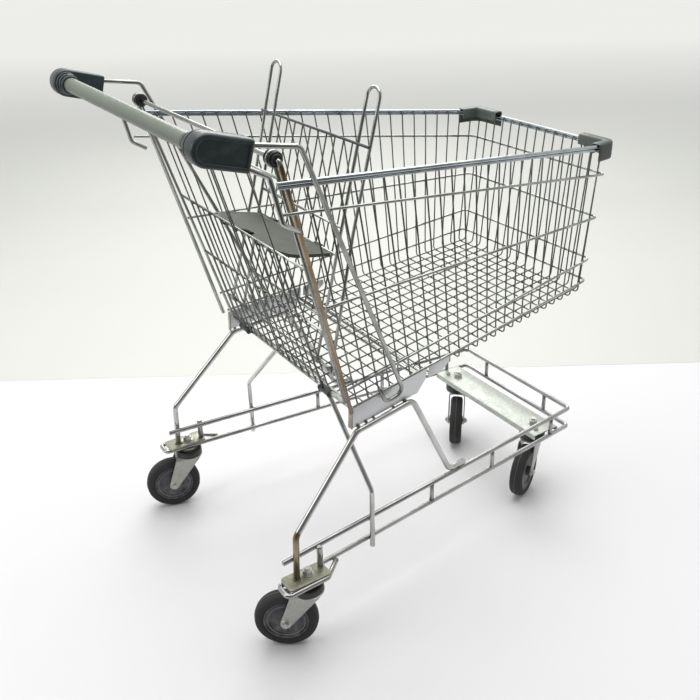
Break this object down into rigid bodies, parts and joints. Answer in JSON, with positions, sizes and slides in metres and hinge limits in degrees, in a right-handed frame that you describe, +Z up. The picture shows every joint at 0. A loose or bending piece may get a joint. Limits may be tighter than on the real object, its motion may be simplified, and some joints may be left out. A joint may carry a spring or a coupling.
{
  "type": "shopping trolley",
  "caption": "Wire shopping trolley with a tapered basket, nesting rear flap, folding child seat and backrest, tubular legs and swivel casters.",
  "frame": {"origin": "centre of the bottom of the bounding box, on the floor under the trolley with its wheels down", "axes": "+X from the handle to the nose, +Y to the trolley's left seen by the person who pushes it, +Z up"},
  "size_m": [0.952, 0.638, 1.019],
  "materials": {
    "chrome_wire": "bright zinc and chrome plating with light wear",
    "grip_plastic": "satin moulded sleeve",
    "cap_plastic": "fine grained moulding",
    "bumper_plastic": "satin moulding",
    "seat_plastic": "satin moulding",
    "black_plastic": "matt moulding",
    "clip_plastic": "satin moulding",
    "dark_bar": "dark coated rod",
    "galvanised_sheet": "galvanised, dull",
    "zinc_channel": "pale passivated zinc",
    "zinc_fork": "bright zinc",
    "hub_plastic": "moulded polyamide",
    "tyre_rubber": "matt rubber"
  },
  "bodies": {
    "root": {"handle_tube": "grip_plastic", "handle_cap_right": "cap_plastic", "handle_cap_left": "cap_plastic", "handle_wires_upper": "chrome_wire", "handle_wires_lower": "chrome_wire", "hinge_rod": "chrome_wire", "hinge_bushes": "black_plastic", "rim_upper": "chrome_wire", "rim_lower": "chrome_wire", "hoop_1": "chrome_wire", "hoop_2": "chrome_wire", "hoop_3": "chrome_wire", "hoop_4": "chrome_wire", "side_wires_right": "chrome_wire", "side_wires_left": "chrome_wire", "nose_wires": "chrome_wire", "floor_cross_wires": "chrome_wire", "floor_long_wires": "chrome_wire", "floor_support_rods": "chrome_wire", "corner_bumper_right": "bumper_plastic", "corner_bumper_left": "bumper_plastic", "side_plates": "galvanised_sheet", "main_leg_right": "chrome_wire", "main_leg_left": "chrome_wire", "cross_leg_frame": "chrome_wire", "rail_upper": "chrome_wire", "rail_lower": "chrome_wire", "rail_struts": "chrome_wire", "front_caster_plate": "zinc_channel", "rear_caster_plates": "galvanised_sheet", "caster_bolts": "zinc_fork", "dust_cups": "black_plastic"},
    "flap": {"flap_frame": "chrome_wire", "flap_wires": "chrome_wire", "flap_cross_wires": "chrome_wire", "flap_bottom_rods": "chrome_wire", "flap_pivot_rod": "chrome_wire", "flap_clips": "clip_plastic"},
    "backrest": {"backrest_loops": "chrome_wire", "backrest_crossbar": "dark_bar", "backrest_cross_wires": "chrome_wire", "backrest_wires": "chrome_wire"},
    "seat": {"seat_panel": "seat_plastic"},
    "swivel_rear_right": {"fork_rear_right": "zinc_fork", "axle_rear_right": "zinc_fork"},
    "wheel_rear_right": {"hub_rear_right": "hub_plastic", "tyre_rear_right": "tyre_rubber"},
    "swivel_rear_left": {"fork_rear_left": "zinc_fork", "axle_rear_left": "zinc_fork"},
    "wheel_rear_left": {"hub_rear_left": "hub_plastic", "tyre_rear_left": "tyre_rubber"},
    "swivel_front_right": {"fork_front_right": "zinc_fork", "axle_front_right": "zinc_fork"},
    "wheel_front_right": {"hub_front_right": "hub_plastic", "tyre_front_right": "tyre_rubber"},
    "swivel_front_left": {"fork_front_left": "zinc_fork", "axle_front_left": "zinc_fork"},
    "wheel_front_left": {"hub_front_left": "hub_plastic", "tyre_front_left": "tyre_rubber"}
  },
  "joints": [
    {"name": "flap_hinge", "type": "hinge", "parent": "root", "child": "flap", "pos_m": [-0.3285, 0, 0.953], "axis": [0, -1, 0], "range_deg": [0, 75]},
    {"name": "backrest_fold", "type": "hinge", "parent": "flap", "child": "backrest", "pos_m": [-0.2045, 0, 0.532], "axis": [0, -1, 0], "range_deg": [0, 24]},
    {"name": "seat_fold", "type": "hinge", "parent": "backrest", "child": "seat", "pos_m": [-0.15393, 0, 0.725], "axis": [0, -1, 0], "range_deg": [-77, 0]},
    {"name": "swivel_rear_right", "type": "hinge", "parent": "root", "child": "swivel_rear_right", "pos_m": [-0.3205, -0.274, 0.134], "axis": [0, 0, 1], "continuous": true},
    {"name": "spin_rear_right", "type": "hinge", "parent": "swivel_rear_right", "child": "wheel_rear_right", "pos_m": [-0.35781, -0.24884, 0.0625], "axis": [0.5592, 0.829, 0], "continuous": true},
    {"name": "swivel_rear_left", "type": "hinge", "parent": "root", "child": "swivel_rear_left", "pos_m": [-0.3205, 0.274, 0.134], "axis": [0, 0, 1], "continuous": true},
    {"name": "spin_rear_left", "type": "hinge", "parent": "swivel_rear_left", "child": "wheel_rear_left", "pos_m": [-0.36376, 0.2864, 0.0625], "axis": [0.2756, 0.9613, 0], "continuous": true},
    {"name": "swivel_front_right", "type": "hinge", "parent": "root", "child": "swivel_front_right", "pos_m": [0.3845, -0.138, 0.134], "axis": [0, 0, 1], "continuous": true},
    {"name": "spin_front_right", "type": "hinge", "parent": "swivel_front_right", "child": "wheel_front_right", "pos_m": [0.34441, -0.15843, 0.0625], "axis": [-0.454, 0.891, 0], "continuous": true},
    {"name": "swivel_front_left", "type": "hinge", "parent": "root", "child": "swivel_front_left", "pos_m": [0.3845, 0.138, 0.134], "axis": [0, 0, 1], "continuous": true},
    {"name": "spin_front_left", "type": "hinge", "parent": "swivel_front_left", "child": "wheel_front_left", "pos_m": [0.35439, 0.10456, 0.0625], "axis": [-0.7431, 0.6691, 0], "continuous": true}
  ],
  "couplings": [
    {"joint": "seat_fold", "follows": "backrest_fold", "ratio": -3.2}
  ]
}
